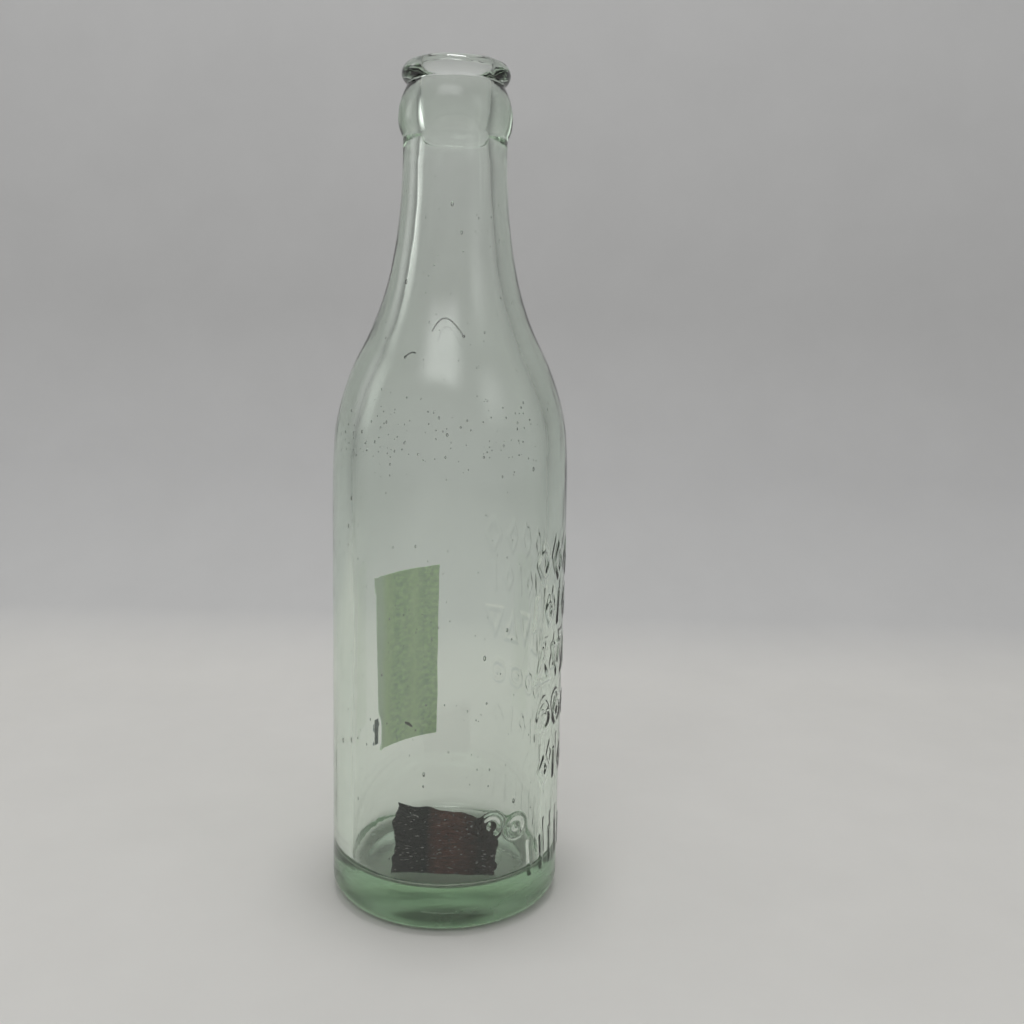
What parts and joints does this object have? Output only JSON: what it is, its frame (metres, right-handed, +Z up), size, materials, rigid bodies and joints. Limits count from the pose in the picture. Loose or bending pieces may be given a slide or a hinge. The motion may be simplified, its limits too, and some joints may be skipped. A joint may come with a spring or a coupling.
{
  "type": "glass soda bottle",
  "caption": "Returnable soda bottle in pale aqua glass with a crown finish, a collar, a raised ornament panel, a thick base and a green paper sticker.",
  "frame": {"origin": "centre of the plane that the bottle stands on", "axes": "+Z up along the bottle's axis; -Y is the plain side seen first, +X the ornament panel's side"},
  "size_m": [0.0603, 0.06, 0.2106],
  "materials": {
    "aqua_glass": "clear pale aqua soda-lime glass with small bubbles",
    "green_paper": "matt faded green paper",
    "dark_paper": "matt dark paper",
    "dark_scrap": "rough, nearly black old cork"
  },
  "bodies": {
    "root": {"glass_bottle": "aqua_glass", "green_paper_label": "green_paper", "label_remnant": "dark_paper", "dark_scrap": "dark_scrap"}
  },
  "joints": []
}
